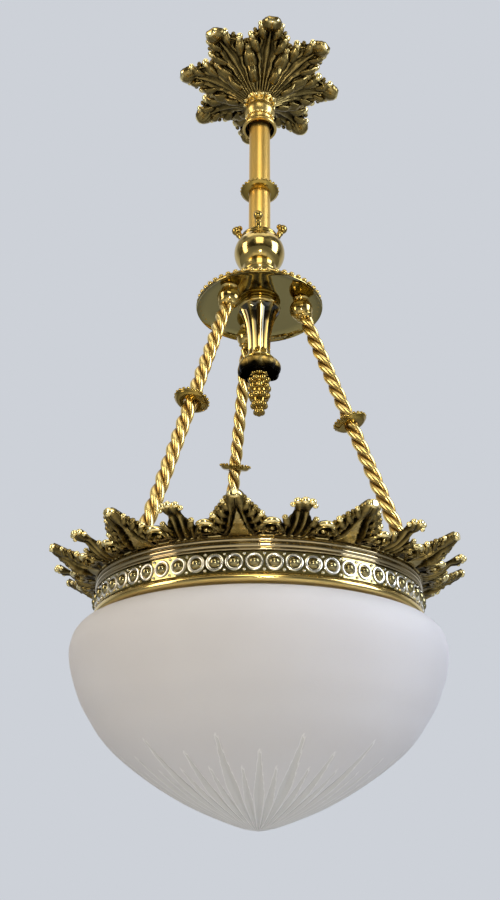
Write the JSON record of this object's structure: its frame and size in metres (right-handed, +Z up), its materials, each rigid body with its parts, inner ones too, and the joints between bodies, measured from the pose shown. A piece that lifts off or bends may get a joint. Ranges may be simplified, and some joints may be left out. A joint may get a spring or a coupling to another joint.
{
  "type": "bowl chandelier",
  "caption": "Brass ceiling pendant light: rope arms hang from a beaded plate and carry a leaf-crested bead gallery that holds a frosted glass bowl.",
  "frame": {"origin": "centre of the ceiling plate's upper face, which lies on the ceiling", "axes": "+Z up along the stem; +X towards the first rope arm; the side that faces the camera in the picture is 76 degrees clockwise of +X seen from above"},
  "size_m": [0.353, 0.3505, 0.79],
  "materials": {
    "steel": "plain zinc-plated",
    "polished_brass": "polished",
    "bright_brass": "bright polished",
    "cast_brass": "antique cast, darkened",
    "frosted_glass": "satin frosted with clear cuts",
    "lamp_glass": "pearl",
    "cream_plastic": "moulded",
    "flex_cover": "woven"
  },
  "bodies": {
    "ceiling": {"ceiling_plate": "steel", "ceiling_fork": "steel", "terminal_block": "cream_plastic"},
    "knuckle": {"knuckle_block": "steel"},
    "pendant": {"stem_fork": "steel", "stem_tube": "bright_brass", "stem_collar": "polished_brass", "ball_body": "bright_brass", "ball_crown": "polished_brass", "plate_dish": "bright_brass", "plate_cover": "polished_brass", "centre_rod": "steel", "trumpet_boss": "polished_brass", "finial_cup": "polished_brass", "berry_finial": "polished_brass", "arm_socket_1": "bright_brass", "arm_socket_2": "bright_brass", "arm_socket_3": "bright_brass", "rope_arm_1": "bright_brass", "rope_arm_2": "bright_brass", "rope_arm_3": "bright_brass", "arm_rosette_1": "polished_brass", "arm_rosette_2": "polished_brass", "arm_rosette_3": "polished_brass", "arm_foot_1": "polished_brass", "arm_foot_2": "polished_brass", "arm_foot_3": "polished_brass", "gallery_band": "bright_brass", "bead_frieze": "bright_brass", "coronet_casting_1": "cast_brass", "coronet_casting_2": "cast_brass", "coronet_casting_3": "cast_brass", "coronet_casting_4": "cast_brass", "coronet_casting_5": "cast_brass", "coronet_casting_6": "cast_brass", "coronet_casting_7": "cast_brass", "coronet_casting_8": "cast_brass", "coronet_casting_9": "cast_brass", "coronet_casting_10": "cast_brass", "coronet_casting_11": "cast_brass", "lamp_bar": "polished_brass", "lamp_holder": "polished_brass", "inner_flex": "flex_cover"},
    "rose": {"rose_cup": "polished_brass", "rose_screw": "polished_brass", "rose_leaf_1": "cast_brass", "rose_leaf_2": "cast_brass", "rose_leaf_3": "cast_brass", "rose_leaf_4": "cast_brass", "rose_leaf_5": "cast_brass", "rose_leaf_6": "cast_brass", "rose_leaf_7": "cast_brass", "rose_leaf_8": "cast_brass"},
    "bowl": {"glass_bowl": "frosted_glass"},
    "catch_1": {"bowl_catch_1": "polished_brass"},
    "catch_2": {"bowl_catch_2": "polished_brass"},
    "catch_3": {"bowl_catch_3": "polished_brass"},
    "lamp": {"lamp": "lamp_glass"}
  },
  "joints": [
    {"name": "sway_across", "type": "hinge", "parent": "ceiling", "child": "knuckle", "pos_m": [0, 0, -0.022], "axis": [1, 0, 0], "range_deg": [-8, 8]},
    {"name": "sway_along", "type": "hinge", "parent": "knuckle", "child": "pendant", "pos_m": [0, 0, -0.022], "axis": [0, 1, 0], "range_deg": [-8, 8]},
    {"name": "rose_slide", "type": "slide", "parent": "pendant", "child": "rose", "axis": [0, 0, 1], "range_m": [-0.082, 0]},
    {"name": "bowl_turn", "type": "hinge", "parent": "pendant", "child": "bowl", "pos_m": [0, 0, -0.634], "axis": [0, 0, 1], "continuous": true},
    {"name": "lamp_twist", "type": "hinge", "parent": "pendant", "child": "lamp", "pos_m": [0, 0, -0.634], "axis": [0, 0, 1], "range_deg": [0, 24]},
    {"name": "catch_turn_1", "type": "hinge", "parent": "pendant", "child": "catch_1", "pos_m": [0.06425, 0.11128, -0.625], "axis": [0, 0, 1], "range_deg": [0, 80]},
    {"name": "catch_turn_2", "type": "hinge", "parent": "pendant", "child": "catch_2", "pos_m": [-0.1285, 0, -0.625], "axis": [0, 0, 1], "range_deg": [0, 80]},
    {"name": "catch_turn_3", "type": "hinge", "parent": "pendant", "child": "catch_3", "pos_m": [0.06425, -0.11128, -0.625], "axis": [0, 0, 1], "range_deg": [0, 80]}
  ]
}
